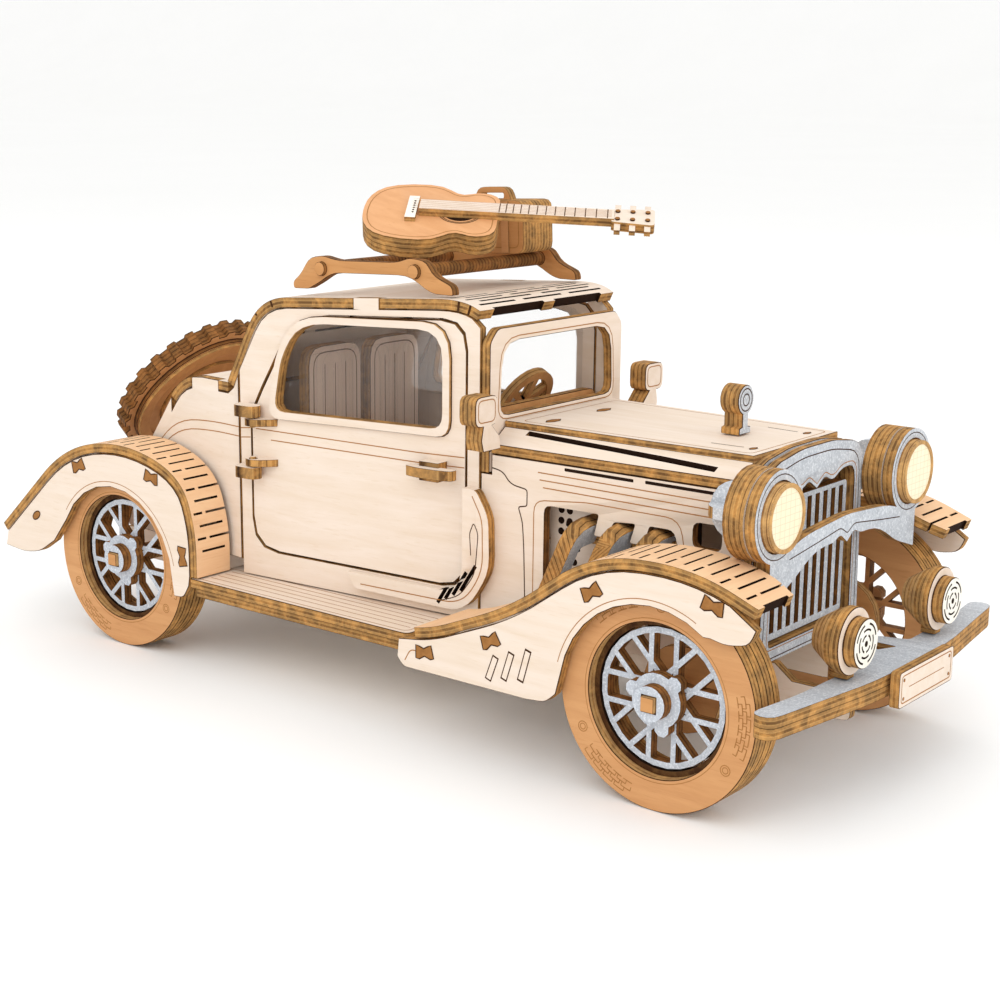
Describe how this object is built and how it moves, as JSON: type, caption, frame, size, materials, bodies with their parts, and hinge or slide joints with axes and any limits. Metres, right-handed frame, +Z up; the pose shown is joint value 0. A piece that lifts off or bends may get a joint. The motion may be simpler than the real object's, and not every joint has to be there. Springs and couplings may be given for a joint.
{
  "type": "wooden jigsaw model car",
  "caption": "Slotted plywood model of a 1930s coupe with spoked wheels that roll, hinged doors, a turning steering wheel, a roof rack with luggage and a spare wheel on the tail.",
  "frame": {"origin": "on the ground under the middle of the car's length and width", "axes": "+X forward along the car, +Y to the car's left, +Z up"},
  "size_m": [0.2146, 0.0866, 0.1027],
  "materials": {
    "cream": "bare basswood plywood with burnt edges",
    "tan": "printed tan plywood",
    "peach": "printed peach plywood",
    "brown": "printed brown plywood",
    "silver": "plywood printed silver grey on its faces",
    "glazing": "thin clear plastic sheet"
  },
  "bodies": {
    "car": {"cabin_side_right": "cream", "cabin_side_left": "cream", "tail_side_right": "cream", "tail_side_left": "cream", "hood_side_right": "cream", "engine_panel_right": "cream", "exhaust_right": "silver", "hood_side_left": "cream", "engine_panel_left": "cream", "exhaust_left": "silver", "chassis_rail_right": "cream", "chassis_rail_left": "cream", "chassis_floor": "cream", "running_board_right": "cream", "running_board_left": "cream", "roof": "cream", "tail_deck": "cream", "windshield_frame": "cream", "dashboard": "brown", "seats": "brown", "hood": "cream", "radiator_shell": "silver", "radiator_grille": "silver", "headlamp_bracket": "silver", "headlamp_right": "silver", "headlamp_left": "silver", "bumper": "silver", "number_plate": "cream", "fog_lamp_right": "cream", "fog_lamp_left": "cream", "front_fender_plate_right": "cream", "front_fender_plate_left": "cream", "rear_fender_plate_right": "cream", "rear_fender_plate_left": "cream", "front_fender_strip_right": "peach", "front_fender_strip_left": "peach", "rear_fender_strip_right": "peach", "rear_fender_strip_left": "peach", "mirror_right": "cream", "mirror_left": "cream", "hood_ornament": "silver", "roof_rack": "tan", "suitcase": "tan", "guitar": "peach", "spare_wheel": "brown"},
    "front_wheels": {"front_axle": "tan", "front_tyre_right": "brown", "front_wheel_centre_right": "silver", "front_tyre_left": "brown", "front_wheel_centre_left": "silver"},
    "rear_wheels": {"rear_axle": "tan", "rear_tyre_right": "brown", "rear_wheel_centre_right": "silver", "rear_tyre_left": "brown", "rear_wheel_centre_left": "silver"},
    "right_door": {"door_right": "cream", "door_window_right": "glazing"},
    "left_door": {"door_left": "cream", "door_window_left": "glazing"},
    "steering": {"steering_wheel": "tan"}
  },
  "joints": [
    {"name": "front_wheels_roll", "type": "hinge", "parent": "car", "child": "front_wheels", "pos_m": [0.07522, 0, 0.02], "axis": [0, 1, 0], "continuous": true},
    {"name": "rear_wheels_roll", "type": "hinge", "parent": "car", "child": "rear_wheels", "pos_m": [-0.06878, 0, 0.02], "axis": [0, 1, 0], "continuous": true},
    {"name": "right_door_swing", "type": "hinge", "parent": "car", "child": "right_door", "pos_m": [-0.03261, -0.0284, 0.05], "axis": [0, 0, -1], "range_deg": [0, 60]},
    {"name": "left_door_swing", "type": "hinge", "parent": "car", "child": "left_door", "pos_m": [-0.03261, 0.0284, 0.05], "axis": [0, 0, 1], "range_deg": [0, 60]},
    {"name": "steering_turn", "type": "hinge", "parent": "car", "child": "steering", "pos_m": [0.00972, 0.0095, 0.058], "axis": [-0.866, 0, 0.5], "range_deg": [-90, 90]}
  ]
}
